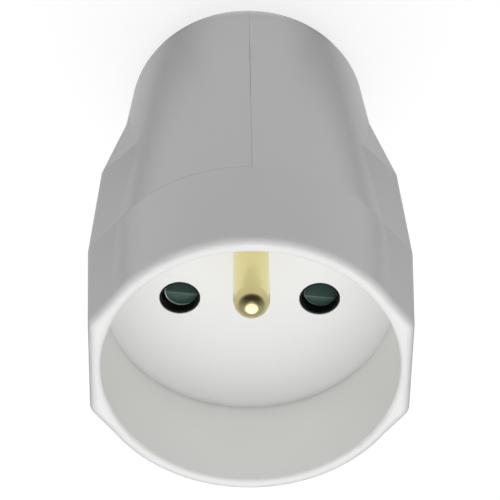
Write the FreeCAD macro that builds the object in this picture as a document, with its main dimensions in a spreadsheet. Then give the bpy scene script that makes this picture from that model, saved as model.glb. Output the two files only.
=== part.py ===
import FreeCAD, Part
import math
import operator
import os

import Sketcher

# An inline socket connector that stands on its tail: +Z runs along its axis to the
# mouth, the contact holes lie along X, and the earth pin stands on the -Y side.
# Millimetres throughout.

SIZES = {
    # Outer form
    "total_length": 64.0,
    "collar_height": 15.8,
    "seam_radius": 21.7,
    "collar_taper": 0.1,
    "tail_radius": 16.55,
    "tail_round": 6.0,
    "rim_flat_sink": 0.3,
    "seam_flat_proud": 0.15,
    "shoulder_flat_proud": 0.9,
    "foot_flat_sink": 1.83,
    "collar_ridge": 7.5,
    "shoulder_ridge": 7.0,
    "foot_ridge": 6.6,
    "shoulder_height": 30.0,
    "foot_height": 12.0,
    "ridge_setback": 0.5,
    "rim_round": 1.0,
    "facet_sink": 0.08,
    # Recess and floor
    "collar_wall": 1.85,
    "recess_depth": 15.0,
    "mouth_round": 0.5,
    "floor_thickness": 2.6,
    "web": 0.9,
    "contact_pitch": 19.0,
    "contact_hole_radius": 2.785,
    "earth_offset": 10.0,
    # Shell
    "wall": 2.0,
    "tail_wall": 2.5,
    "cavity_floor_radius": 10.5,
    "cavity_bevel_height": 8.0,
    "joint_gap": 0.012,
    "fit_gap": 0.05,
    # Shutter, its cage and its spring
    "shutter_travel": 5.4,
    "shutter_height": 3.85,
    "wing_half_width": 3.1,
    "shutter_front": 2.7,
    "shutter_back": 3.4,
    "ramp_ridge": 0.8,
    "ramp_slope": 1.0,
    "bridge_front": 0.9,
    "bridge_height": 2.6,
    "slide_gap": 0.2,
    "stop_gap": 0.3,
    "entry_radius": 2.5,
    "lip_drop": 0.1,
    "cage_plate": 0.5,
    "cage_wall": 0.8,
    "spring_radius": 1.4,
    "spring_wire_radius": 0.2,
    "spring_length": 10.2,
    "spring_turns": 6.0,
    "spring_room": 0.4,
    "peg_radius": 0.9,
    "peg_length": 1.5,
    # Contact carrier
    "flange_thickness": 4.7,
    "tube_wall": 1.3,
    "bore_gap": 0.1,
    "clip_room": 0.15,
    "shell_clearance": 0.3,
    "post_radius": 2.6,
    "carrier_screw_edge": 1.05,
    "tube_lift": 1.5,
    # Contacts and earth pin
    "plug_pin_length": 19.0,
    "contact_bore": 2.35,
    "contact_outer": 3.0,
    "contact_drop": 0.5,
    "contact_entry": 0.4,
    "contact_slit": 0.7,
    "contact_root": 2.0,
    "bore_bottom_room": 0.5,
    "terminal_radius": 4.0,
    "terminal_length": 7.2,
    "terminal_shoulder": 1.5,
    "wire_hole_radius": 1.7,
    "wire_hole_depth": 4.6,
    "terminal_screw_height": 3.0,
    "clip_thickness": 0.45,
    "clip_width": 2.0,
    "clip_gap": 1.4,
    "clip_drop": 2.0,
    "earth_pin_radius": 2.4,
    "earth_flange_radius": 4.6,
    "earth_flange_thickness": 1.5,
    "earth_shank_radius": 2.9,
    "earth_tail_radius": 2.0,
    "earth_tail": 2.4,
    # Screws
    "terminal_screw_radius": 1.5,
    "terminal_screw_tip": 1.0,
    "terminal_head_radius": 2.3,
    "terminal_head_height": 1.5,
    "window_gap": 0.4,
    "screw_radius": 1.45,
    "screw_head_radius": 2.6,
    "screw_head_height": 2.0,
    "screw_slot": 0.7,
    "screw_slot_depth": 0.9,
    "screw_hole_gap": 0.15,
    "carrier_screw_bite": 4.0,
    "cover_screw_y": 11.2,
    "cover_screw_drop": 2.2,
    "cover_screw_seat": 8.0,
    "cover_screw_bite": 8.0,
    "cover_boss_radius": 3.9,
    "body_boss_radius": 2.9,
    "well_gap": 0.4,
    # Cord clamp and inlet
    "clamp_height": 15.0,
    "clamp_width": 4.6,
    "clamp_room": 0.4,
    "clamp_thickness": 4.0,
    "clamp_offset": 3.2,
    "clamp_screw_y": 8.0,
    "clamp_half_length": 10.6,
    "clamp_bite": 7.0,
    "cord_radius": 4.7,
    "cradle_width": 2.4,
    "cradle_half_length": 6.4,
    "cradle_offset": 1.5,
    "inlet_radius": 6.0,
    "inlet_recess_radius": 7.5,
    "inlet_recess_depth": 1.2,
    "grommet_bore": 4.5,
    "grommet_flange_radius": 7.2,
    "grommet_flange": 1.4,
    "grommet_step": 0.3,
    # Tongues of the cover
    "tongue_reach": 3.0,
    "tongue_root": 2.5,
    "tongue_thickness": 1.5,
    "tongue_width": 5.0,
    "tongue_tail_z": 9.0,
    "tongue_bury": 1.0,
}

RIM_ROUND_STEPS = 3
CARRIER_SCREW_TURNS = (-46, 115)
OVERCUT = 1.0
UPRIGHT = FreeCAD.Rotation()
ALONG_X = FreeCAD.Rotation(FreeCAD.Vector(0, 1, 0), 90)
ALONG_Y = FreeCAD.Rotation(FreeCAD.Vector(1, 0, 0), -90)
FRONT_PLANE = FreeCAD.Rotation(FreeCAD.Vector(1, 0, 0), 90)
SIDE_PLANE = FreeCAD.Rotation(FreeCAD.Vector(1, 1, 1), 120)
OPERATIONS = {"+": operator.add, "-": operator.sub, "*": operator.mul, "/": operator.truediv}


class Size:
    """A length that keeps its number together with the sheet formula that gives it."""

    def __init__(self, value, formula):
        self.value = value
        self.formula = formula

    def __add__(self, other):
        return combine(self, "+", other)

    def __radd__(self, other):
        return combine(other, "+", self)

    def __sub__(self, other):
        return combine(self, "-", other)

    def __rsub__(self, other):
        return combine(other, "-", self)

    def __mul__(self, other):
        return combine(self, "*", other)

    def __rmul__(self, other):
        return combine(other, "*", self)

    def __truediv__(self, other):
        return combine(self, "/", other)

    def __neg__(self):
        return combine(0, "-", self)


def as_size(number):
    """A plain number as a Size; a Size stays as it is."""
    if isinstance(number, Size):
        return number
    return Size(float(number), f"({number})")


def combine(left, sign, right):
    """The Size that one operation on two sizes gives."""
    left = as_size(left)
    right = as_size(right)
    value = OPERATIONS[sign](left.value, right.value)
    return Size(value, f"({left.formula} {sign} {right.formula})")


def root(size):
    """Square root of a Size."""
    return Size(math.sqrt(size.value), f"sqrt({size.formula})")


class Sheet:
    """The driving dimensions, each a cell of the document's sheet with an alias."""

    def __init__(self, document):
        cells = document.addObject("Spreadsheet::Sheet", "Sizes")
        for row, (name, value) in enumerate(SIZES.items(), start=1):
            cells.set(f"A{row}", name)
            cells.set(f"B{row}", str(value))
            cells.setAlias(f"B{row}", name)
            setattr(self, name, Size(value, f"Sizes.{name}"))


doc = FreeCAD.newDocument("inline_socket_connector")
S = Sheet(doc)
doc.recompute()

# Levels along the axis, counted from the tail end
RIM = S.total_length
SEAM = RIM - S.collar_height
FLOOR_TOP = RIM - S.recess_depth
FLOOR_BACK = FLOOR_TOP - S.floor_thickness
CAGE_TOP = FLOOR_TOP - S.web - S.fit_gap
SHUTTER_TOP = CAGE_TOP - S.cage_plate - S.slide_gap
SHUTTER_BOTTOM = SHUTTER_TOP - S.shutter_height
CARRIER_TOP = SHUTTER_BOTTOM - S.slide_gap
FLANGE_BOTTOM = CARRIER_TOP - S.flange_thickness
CONTACT_TOP = CARRIER_TOP - S.contact_drop
BORE_BOTTOM = FLOOR_TOP - S.plug_pin_length - S.bore_bottom_room
TERMINAL_TOP = BORE_BOTTOM + S.terminal_shoulder
TERMINAL_BOTTOM = TERMINAL_TOP - S.terminal_length
TERMINAL_SCREW_Z = TERMINAL_BOTTOM + S.terminal_screw_height
HALF_PITCH = S.contact_pitch / 2
COVER_SCREW_HEIGHTS = (
    FLANGE_BOTTOM - S.cover_screw_drop - S.cover_boss_radius,
    S.clamp_height - S.clamp_width / 2 - S.clamp_room - S.cover_boss_radius,
)
TONGUE_HEIGHTS = (
    ("front", TERMINAL_BOTTOM - S.shell_clearance - S.tongue_width),
    ("tail", S.tongue_tail_z),
)
CLAMP_TOP_X = S.clamp_offset + S.clamp_thickness


def cone_radius(height):
    """Radius of the tapered core at a height above the tail."""
    return S.tail_radius + (S.seam_radius - S.tail_radius) * height / SEAM


def cavity_radius(height):
    """Radius of the hollow inside the shell at a height above the tail."""
    return cone_radius(height) - S.wall


def around(radius, degrees):
    """The point at a distance from the axis in a direction counted from +X."""
    angle = math.radians(degrees)
    return radius * math.cos(angle), radius * math.sin(angle)


RIM_RADIUS = S.seam_radius - S.collar_taper
RECESS_RADIUS = RIM_RADIUS - S.collar_wall
CARRIER_SCREW_RADIUS = cavity_radius(FLANGE_BOTTOM) - S.screw_head_radius - S.carrier_screw_edge
CARRIER_SCREW_PLACES = [around(CARRIER_SCREW_RADIUS, turn) for turn in CARRIER_SCREW_TURNS]


# Helpers that bind shapes to the sheet


def bind(item, prop, size):
    """Drive one property of an item by a size."""
    item.setExpression(prop, as_size(size).formula)


def put(item, x=0, y=0, z=0, turn=UPRIGHT):
    """Turn an item and bind its place to three sizes."""
    place = FreeCAD.Vector(*(as_size(value).value for value in (x, y, z)))
    item.Placement = FreeCAD.Placement(place, turn)
    for axis, value in zip("xyz", (x, y, z)):
        bind(item, "Placement.Base." + axis, value)
    return item


def rod(name, radius, length, x=0, y=0, z=0, turn=UPRIGHT):
    """A round rod that starts at a point."""
    item = doc.addObject("Part::Cylinder", name)
    bind(item, "Radius", radius)
    bind(item, "Height", length)
    return put(item, x, y, z, turn)


def block(name, low, high):
    """A square block between two corners."""
    item = doc.addObject("Part::Box", name)
    for prop, start, end in zip(("Length", "Width", "Height"), low, high):
        bind(item, prop, as_size(end) - start)
    return put(item, *low)


def united(name, *items):
    """Several items joined as one solid."""
    item = doc.addObject("Part::MultiFuse", name)
    item.Shapes = list(items)
    item.Refine = True
    return item


def group(name, items):
    """Like items that stay separate solids."""
    item = doc.addObject("Part::Compound", name)
    item.Links = list(items)
    return item


def cut(name, base, *tools):
    """A base less one or more tools."""
    item = doc.addObject("Part::Cut", name)
    item.Base = base
    item.Tool = tools[0] if len(tools) == 1 else united(name + "_tools", *tools)
    item.Refine = True
    return item


def shared(name, first, second):
    """What two items have in common."""
    item = doc.addObject("Part::Common", name)
    item.Base = first
    item.Tool = second
    return item


def arc_centre(start, end, heading):
    """Centre of the arc from start to end that leaves start along heading."""
    normal = FreeCAD.Vector(-heading.y, heading.x, 0)
    chord = end - start
    return start + normal * (chord.Length ** 2 / (2 * chord.dot(normal)))


def draw(sketch, points):
    """A closed outline. A point is (x, y), or (x, y, True) where an arc leaves it
    tangent to the side before it. The first side is straight."""
    count = len(points)
    spots = [FreeCAD.Vector(as_size(p[0]).value, as_size(p[1]).value, 0) for p in points]
    ends = []
    heading = None
    for index, point in enumerate(points):
        start = spots[index]
        end = spots[(index + 1) % count]
        if len(point) == 2:
            sketch.addGeometry(Part.LineSegment(start, end))
            heading = (end - start).normalize()
            ends.append((1, 2))
            continue
        centre = arc_centre(start, end, heading)
        spoke = end - centre
        left_turn = heading.cross(end - start).z > 0
        first, last = (start, end) if left_turn else (end, start)
        angles = [math.atan2(spot.y - centre.y, spot.x - centre.x) for spot in (first, last)]
        circle = Part.Circle(centre, FreeCAD.Vector(0, 0, 1), spoke.Length)
        sketch.addGeometry(Part.ArcOfCircle(circle, angles[0], angles[1]))
        heading = FreeCAD.Vector(-spoke.y, spoke.x, 0).normalize()
        heading = heading if left_turn else -heading
        ends.append((1, 2) if left_turn else (2, 1))
    for index, point in enumerate(points):
        before = (index - 1) % count
        kind = "Coincident" if len(point) == 2 else "Tangent"
        sketch.addConstraint(Sketcher.Constraint(kind, before, ends[before][1], index, ends[index][0]))
    for index, point in enumerate(points):
        for kind, value in zip(("DistanceX", "DistanceY"), point):
            number = as_size(value).value
            rule = Sketcher.Constraint(kind, -1, 1, index, ends[index][0], number)
            row = sketch.addConstraint(rule)
            bind(sketch, f"Constraints[{row}]", value)


def profile(name, points, turn=UPRIGHT, x=0, y=0, z=0):
    """A sketch of a closed outline in a plane of its own."""
    sketch = doc.addObject("Sketcher::SketchObject", name)
    put(sketch, x, y, z, turn)
    draw(sketch, points)
    return sketch


def extruded(name, points, length, turn=UPRIGHT, x=0, y=0, z=0):
    """An outline drawn out along its plane's normal."""
    item = doc.addObject("Part::Extrusion", name)
    item.Base = profile(name + "_outline", points, turn, x, y, z)
    item.DirMode = "Normal"
    item.Solid = True
    bind(item, "LengthFwd", length)
    return item


def revolved(name, points):
    """A half section, as (radius, height), turned about the Z axis."""
    item = doc.addObject("Part::Revolution", name)
    item.Source = profile(name + "_section", points, FRONT_PLANE)
    item.Axis = FreeCAD.Vector(0, 0, 1)
    item.Angle = 360
    item.Solid = True
    return item


def turned(name, points, x=0, y=0, z=0, turn=UPRIGHT):
    """A turned piece as a body: a half section spun about the body's own Z axis."""
    body = doc.addObject("PartDesign::Body", name)
    sketch = body.newObject("Sketcher::SketchObject", name + "_section")
    plane = next(item for item in body.Origin.OriginFeatures if item.Role == "XZ_Plane")
    sketch.AttachmentSupport = [(plane, "")]
    sketch.MapMode = "FlatFace"
    draw(sketch, points)
    spin = body.newObject("PartDesign::Revolution", name + "_spin")
    spin.Profile = sketch
    spin.ReferenceAxis = (sketch, ["V_Axis"])
    spin.Angle = 360
    body.Tip = spin
    return put(body, x, y, z, turn)


def screw(name, length, radius, head_radius, head_height, x, y, z, turn):
    """A round-headed screw with a slot: its seat is at the point, its shank runs ahead."""
    section = [
        (0, -head_height),
        (head_radius - head_height / 3, -head_height),
        (head_radius, head_height * (-2 / 3)),
        (head_radius, 0),
        (radius, 0),
        (radius, length - radius),
        (radius / 3, length),
        (0, length),
    ]
    blank = turned(name + "_blank", section, x, y, z, turn)
    slot = doc.addObject("Part::Box", name + "_slot")
    bind(slot, "Length", head_radius * 2 + OVERCUT)
    bind(slot, "Width", S.screw_slot)
    bind(slot, "Height", S.screw_slot_depth + OVERCUT)
    corner = (-head_radius - OVERCUT / 2, -S.screw_slot / 2, -head_height - OVERCUT)
    numbers = FreeCAD.Vector(*(value.value for value in corner))
    offset = turn.multVec(numbers)
    slot.Placement = FreeCAD.Placement(offset, turn)
    for axis, base in zip("xyz", (x, y, z)):
        bind(slot, "Placement.Base." + axis, turned_part(turn, corner, axis) + base)
    return cut(name, blank, slot)


def turned_part(turn, corner, axis):
    """One coordinate of a corner after a turn by quarter circles."""
    direction = {"x": (1, 0, 0), "y": (0, 1, 0), "z": (0, 0, 1)}[axis]
    back = turn.inverted().multVec(FreeCAD.Vector(*direction))
    total = as_size(0)
    for share, value in zip(back, corner):
        if abs(share) > 0.5:
            total = total + value * round(share)
    return total


# Outer form


def tangent_point(flat, ridge, radius):
    """Where a line from the ridge corner touches a circle about the axis."""
    reach = flat * flat + ridge * ridge
    run = root(reach - radius * radius)
    x = (radius * radius * flat - radius * run * ridge) / reach
    y = (radius * radius * ridge + radius * run * flat) / reach
    return x, y, run


def wing_section(name, height, flat, ridge, radius):
    """Cross-section of the flat-sided grips: flats, rounded ridges and facets that
    run onto the round core."""
    touch_x, touch_y, run = tangent_point(flat, ridge, radius)
    low_y = ridge - S.ridge_setback
    share = S.ridge_setback / run
    high_x = flat + (touch_x - flat) * share
    high_y = ridge + (touch_y - ridge) * share
    points = [
        (flat, -low_y),
        (flat, low_y, True),
        (high_x, high_y),
        (touch_x, touch_y),
        (-touch_x, touch_y),
        (-high_x, high_y, True),
        (-flat, low_y),
        (-flat, -low_y, True),
        (-high_x, -high_y),
        (-touch_x, -touch_y),
        (touch_x, -touch_y),
        (high_x, -high_y, True),
    ]
    return profile(name, points, z=height)


def rim_step(step):
    """Inset and height of one step of the rounded outer rim."""
    angle = math.radians(90 * step / RIM_ROUND_STEPS)
    inset = S.rim_round * (1 - math.cos(angle))
    height = RIM - S.rim_round * (1 - math.sin(angle))
    return inset, height


def make_outer_form():
    """The whole outside: a tapered round core with flat grips on both sides."""
    slope_x = S.seam_radius - S.tail_radius
    slope_run = root(slope_x * slope_x + SEAM * SEAM)
    lean = slope_x / slope_run
    rise = SEAM / slope_run
    round_centre = S.tail_radius - S.tail_round * (1 - lean) / rise
    core = revolved("core", [
        (0, 0),
        (round_centre, 0, True),
        (round_centre + S.tail_round * rise, S.tail_round * (1 - lean)),
        (S.seam_radius, SEAM),
        (RIM_RADIUS, RIM - S.rim_round, True),
        (RIM_RADIUS - S.rim_round, RIM),
        (0, RIM),
    ])
    trim = RIM_RADIUS - S.rim_round - 2 * S.rim_flat_sink
    reach = S.seam_radius + OVERCUT
    low = SEAM + 2 * S.rim_round
    high = RIM + OVERCUT
    core = cut("flat_sided_core", core,
               block("core_trim_cover_side", (trim, -reach, low), (reach, reach, high)),
               block("core_trim_body_side", (-reach, -reach, low), (-trim, reach, high)))
    foot_flat = cone_radius(S.foot_height) - S.foot_flat_sink
    shoulder_radius = cone_radius(S.shoulder_height)
    sections = [
        wing_section("foot_section", S.foot_height, foot_flat, S.foot_ridge, foot_flat),
        wing_section("shoulder_section", S.shoulder_height,
                     shoulder_radius + S.shoulder_flat_proud, S.shoulder_ridge,
                     shoulder_radius - S.facet_sink),
        wing_section("seam_section", SEAM, S.seam_radius + S.seam_flat_proud, S.collar_ridge,
                     S.seam_radius - S.facet_sink),
    ]
    for step in range(RIM_ROUND_STEPS + 1):
        inset, height = rim_step(step)
        radius = RIM_RADIUS - inset
        sections.append(wing_section(f"rim_section_{step}", height, radius - S.rim_flat_sink,
                                     S.collar_ridge - inset / 3, radius - S.facet_sink))
    grips = doc.addObject("Part::Loft", "grips")
    grips.Sections = sections
    grips.Solid = True
    grips.Ruled = True
    return united("outer_form", core, grips)


def make_cavity(name):
    """The hollow of the rear, a tapered round space with a bevelled bottom."""
    return revolved(name, [
        (0, S.tail_wall),
        (S.cavity_floor_radius, S.tail_wall),
        (cavity_radius(S.cavity_bevel_height), S.cavity_bevel_height),
        (cavity_radius(FLOOR_BACK), FLOOR_BACK),
        (0, FLOOR_BACK),
    ])


def inlet_tools(name):
    """The stepped hole for the grommet in the tail."""
    hole = rod(name + "_hole", S.inlet_radius, S.tail_wall + 2 * OVERCUT, z=-OVERCUT)
    step = rod(name + "_step", S.inlet_recess_radius, S.inlet_recess_depth + OVERCUT, z=-OVERCUT)
    return [hole, step]


# The shutter group


def tee(name, margin, height_low, height):
    """T-shaped block: a wide bay for the shutter and a narrow one for its spring.
    The margin is counted outwards from the inside of the cage."""
    half = HALF_PITCH + S.wing_half_width + S.slide_gap + margin
    near = -S.shutter_front - S.stop_gap - margin
    far = S.shutter_back + S.shutter_travel + S.stop_gap + margin
    bay = S.spring_radius + S.spring_wire_radius + S.spring_room + margin
    end = S.shutter_back + S.spring_length + margin
    points = [
        (-half, near), (half, near), (half, far), (bay, far),
        (bay, end), (-bay, end), (-bay, far), (-half, far),
    ]
    return extruded(name, points, height, z=height_low)


def make_shutter_cage():
    """Open-bottomed guide of the shutter, with a lip up each contact hole."""
    shell = tee("cage_outside", S.cage_wall, CARRIER_TOP, CAGE_TOP - CARRIER_TOP)
    hollow = tee("cage_inside", as_size(0), CARRIER_TOP - OVERCUT,
                 CAGE_TOP - S.cage_plate - CARRIER_TOP + OVERCUT)
    lips = []
    entries = []
    lip_top = FLOOR_TOP - S.lip_drop
    for side, x in (("left", HALF_PITCH), ("right", -HALF_PITCH)):
        base = CAGE_TOP - S.cage_plate
        lips.append(rod(f"lip_{side}", S.contact_hole_radius - S.fit_gap, lip_top - base, x, 0, base))
        entries.append(rod(f"entry_{side}", S.entry_radius, RIM - CARRIER_TOP, x, 0, CARRIER_TOP))
    box = cut("cage_box", shell, hollow)
    return cut("shutter_cage", united("cage_with_lips", box, *lips), *entries)


def make_shutter():
    """One-piece slider: a ramped wing behind each contact hole and a bridge between."""
    ramp_foot = SHUTTER_TOP - (S.shutter_front + S.ramp_ridge) * S.ramp_slope
    wing_outline = [
        (-S.shutter_front, SHUTTER_BOTTOM),
        (S.shutter_back, SHUTTER_BOTTOM),
        (S.shutter_back, SHUTTER_TOP),
        (S.ramp_ridge, SHUTTER_TOP),
        (-S.shutter_front, ramp_foot),
    ]
    pieces = []
    for side, x in (("left", HALF_PITCH), ("right", -HALF_PITCH)):
        pieces.append(extruded(f"wing_{side}", wing_outline, S.wing_half_width * 2, SIDE_PLANE,
                               x=x - S.wing_half_width))
    pieces.append(block("bridge",
                        (-HALF_PITCH, -S.bridge_front, SHUTTER_BOTTOM),
                        (HALF_PITCH, S.shutter_back, SHUTTER_BOTTOM + S.bridge_height)))
    pieces.append(rod("spring_peg", S.peg_radius, S.peg_length + S.shutter_back,
                      0, 0, SPRING_Z, ALONG_Y))
    return united("shutter", *pieces)


SPRING_Z = SHUTTER_BOTTOM + S.spring_radius + S.spring_wire_radius + S.slide_gap


def make_spring():
    """Return spring between the shutter's bridge and the end of the cage."""
    wire = S.spring_wire_radius.value
    coil = S.spring_radius.value
    run = S.spring_length.value - 2 * wire
    helix = Part.makeHelix(run / S.spring_turns.value, run, coil)
    ring = Part.Circle(FreeCAD.Vector(coil, 0, 0), FreeCAD.Vector(0, 1, 0), wire)
    section = Part.Wire(ring.toShape())
    item = doc.addObject("Part::Feature", "shutter_spring")
    item.Shape = Part.Wire(helix).makePipeShell([section], True, True)
    return put(item, 0, S.shutter_back + S.spring_wire_radius, SPRING_Z, ALONG_Y)


# Contacts and their carrier

CONTACT_PLACES = (
    ("live", HALF_PITCH, as_size(0), ALONG_X),
    ("neutral", -HALF_PITCH, as_size(0), FreeCAD.Rotation(FreeCAD.Vector(0, 1, 0), -90)),
    ("earth", as_size(0), -S.earth_offset, FreeCAD.Rotation(FreeCAD.Vector(1, 0, 0), 90)),
)


def make_contact(name, x, y, turn):
    """Turned brass sleeve slit into fingers, with a screw terminal at its foot."""
    blank = turned(name + "_blank", [
        (S.wire_hole_radius, TERMINAL_BOTTOM),
        (S.terminal_radius, TERMINAL_BOTTOM),
        (S.terminal_radius, TERMINAL_TOP),
        (S.contact_outer, TERMINAL_TOP),
        (S.contact_outer, CONTACT_TOP),
        (S.contact_bore + S.contact_entry, CONTACT_TOP),
        (S.contact_bore, CONTACT_TOP - S.contact_entry * 2),
        (S.contact_bore, BORE_BOTTOM),
        (0, BORE_BOTTOM),
        (0, TERMINAL_BOTTOM + S.wire_hole_depth),
        (S.wire_hole_radius, TERMINAL_BOTTOM + S.wire_hole_depth),
    ], x, y)
    reach = S.contact_outer + OVERCUT
    half = S.contact_slit / 2
    low = TERMINAL_TOP + S.contact_root
    high = CONTACT_TOP + OVERCUT
    slits = [
        block(name + "_slit_x", (x - reach, y - half, low), (x + reach, y + half, high)),
        block(name + "_slit_y", (x - half, y - reach, low), (x + half, y + reach, high)),
    ]
    hole = rod(name + "_screw_hole", S.terminal_screw_radius + S.fit_gap,
               S.terminal_radius + OVERCUT, x, y, TERMINAL_SCREW_Z, turn)
    return cut(name, blank, *slits, hole)


def make_contact_clip(name, x):
    """Open steel ring round the fingers of a contact."""
    base = CONTACT_TOP - S.clip_drop - S.clip_width
    inner = S.contact_outer + S.fit_gap
    ring = rod(name + "_ring", inner + S.clip_thickness, S.clip_width, x, 0, base)
    bore = rod(name + "_bore", inner, S.clip_width + 2 * OVERCUT, x, 0, base - OVERCUT)
    half = S.clip_gap / 2
    mouth = block(name + "_mouth", (x - half, 0, base - OVERCUT),
                  (x + half, inner + S.clip_thickness + OVERCUT, base + S.clip_width + OVERCUT))
    return cut(name, ring, bore, mouth)


def make_earth_terminal():
    """Brass block pressed on the tail of the earth pin, with a screw for the wire."""
    name, x, y, turn = CONTACT_PLACES[2]
    blank = turned("earth_terminal_blank", [
        (S.wire_hole_radius, TERMINAL_BOTTOM),
        (S.terminal_radius, TERMINAL_BOTTOM),
        (S.terminal_radius, TERMINAL_TOP),
        (S.earth_tail_radius + S.fit_gap, TERMINAL_TOP),
        (S.earth_tail_radius + S.fit_gap, TERMINAL_TOP - S.earth_tail),
        (S.wire_hole_radius, TERMINAL_TOP - S.earth_tail),
    ], x, y)
    hole = rod("earth_terminal_screw_hole", S.terminal_screw_radius + S.fit_gap,
               S.terminal_radius + OVERCUT, x, y, TERMINAL_SCREW_Z, turn)
    return cut("earth_terminal", blank, hole)


def make_earth_pin():
    """Turned brass pin with a domed tip, a shank that fills the hole in the floor and
    a flange trapped behind it."""
    radius = S.earth_pin_radius
    shank_top = FLOOR_TOP - S.lip_drop
    return turned("earth_pin", [
        (0, TERMINAL_TOP - S.earth_tail),
        (S.earth_tail_radius, TERMINAL_TOP - S.earth_tail),
        (S.earth_tail_radius, CARRIER_TOP),
        (S.earth_flange_radius, CARRIER_TOP),
        (S.earth_flange_radius, CARRIER_TOP + S.earth_flange_thickness),
        (S.earth_shank_radius, CARRIER_TOP + S.earth_flange_thickness),
        (S.earth_shank_radius, shank_top),
        (radius, shank_top),
        (radius, RIM - radius, True),
        (0, RIM),
    ], 0, -S.earth_offset)


def make_contact_carrier():
    """Insulating flange with a tube round each contact and a window for each screw."""
    flange_radius = cavity_radius(FLANGE_BOTTOM) - S.shell_clearance
    solids = [rod("carrier_flange", flange_radius, S.flange_thickness, z=FLANGE_BOTTOM)]
    tools = []
    bore = S.terminal_radius + S.bore_gap
    tube_bottom = TERMINAL_BOTTOM + S.tube_lift
    upper = S.contact_outer + S.fit_gap + S.clip_thickness + S.clip_room
    for name, x, y, turn in CONTACT_PLACES:
        solids.append(rod(f"{name}_tube", bore + S.tube_wall, CARRIER_TOP - tube_bottom,
                          x, y, tube_bottom))
        tools.append(rod(f"{name}_lower_bore", bore, TERMINAL_TOP - tube_bottom + OVERCUT,
                         x, y, tube_bottom - OVERCUT))
        width = S.earth_tail_radius + S.fit_gap if name == "earth" else upper
        tools.append(rod(f"{name}_upper_bore", width, CARRIER_TOP - tube_bottom + OVERCUT,
                         x, y, tube_bottom))
        tools.append(rod(f"{name}_window", S.terminal_head_radius + S.window_gap,
                         bore + S.tube_wall + OVERCUT, x, y, TERMINAL_SCREW_Z, turn))
    for index, (x, y) in enumerate(CARRIER_SCREW_PLACES):
        tools.append(rod(f"carrier_hole_{index}", S.screw_radius + S.screw_hole_gap,
                         S.flange_thickness + 2 * OVERCUT, x, y, FLANGE_BOTTOM - OVERCUT))
    return cut("contact_carrier", united("carrier_blank", *solids), *tools)


def make_terminal_screws():
    """One slotted screw in each terminal, reached from the side."""
    seat = S.terminal_radius + S.slide_gap
    length = seat - S.terminal_screw_tip
    screws = []
    for name, x, y, turn in CONTACT_PLACES:
        outward = turn.multVec(FreeCAD.Vector(0, 0, 1))
        inward = turn * FreeCAD.Rotation(FreeCAD.Vector(1, 0, 0), 180)
        screws.append(screw(f"{name}_terminal_screw", length, S.terminal_screw_radius,
                            S.terminal_head_radius, S.terminal_head_height,
                            x + seat * round(outward.x), y + seat * round(outward.y),
                            TERMINAL_SCREW_Z, inward))
    return group("terminal_screws", screws)


def make_carrier_screws():
    """Screws from behind that hold the carrier to the posts of the floor."""
    screws = []
    for index, (x, y) in enumerate(CARRIER_SCREW_PLACES):
        screws.append(screw(f"carrier_screw_{index}", S.flange_thickness + S.carrier_screw_bite,
                            S.screw_radius, S.screw_head_radius, S.screw_head_height,
                            x, y, FLANGE_BOTTOM, UPRIGHT))
    return group("carrier_screws", screws)


# The two shells

INWARD_X = FreeCAD.Rotation(FreeCAD.Vector(0, 1, 0), -90)


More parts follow.
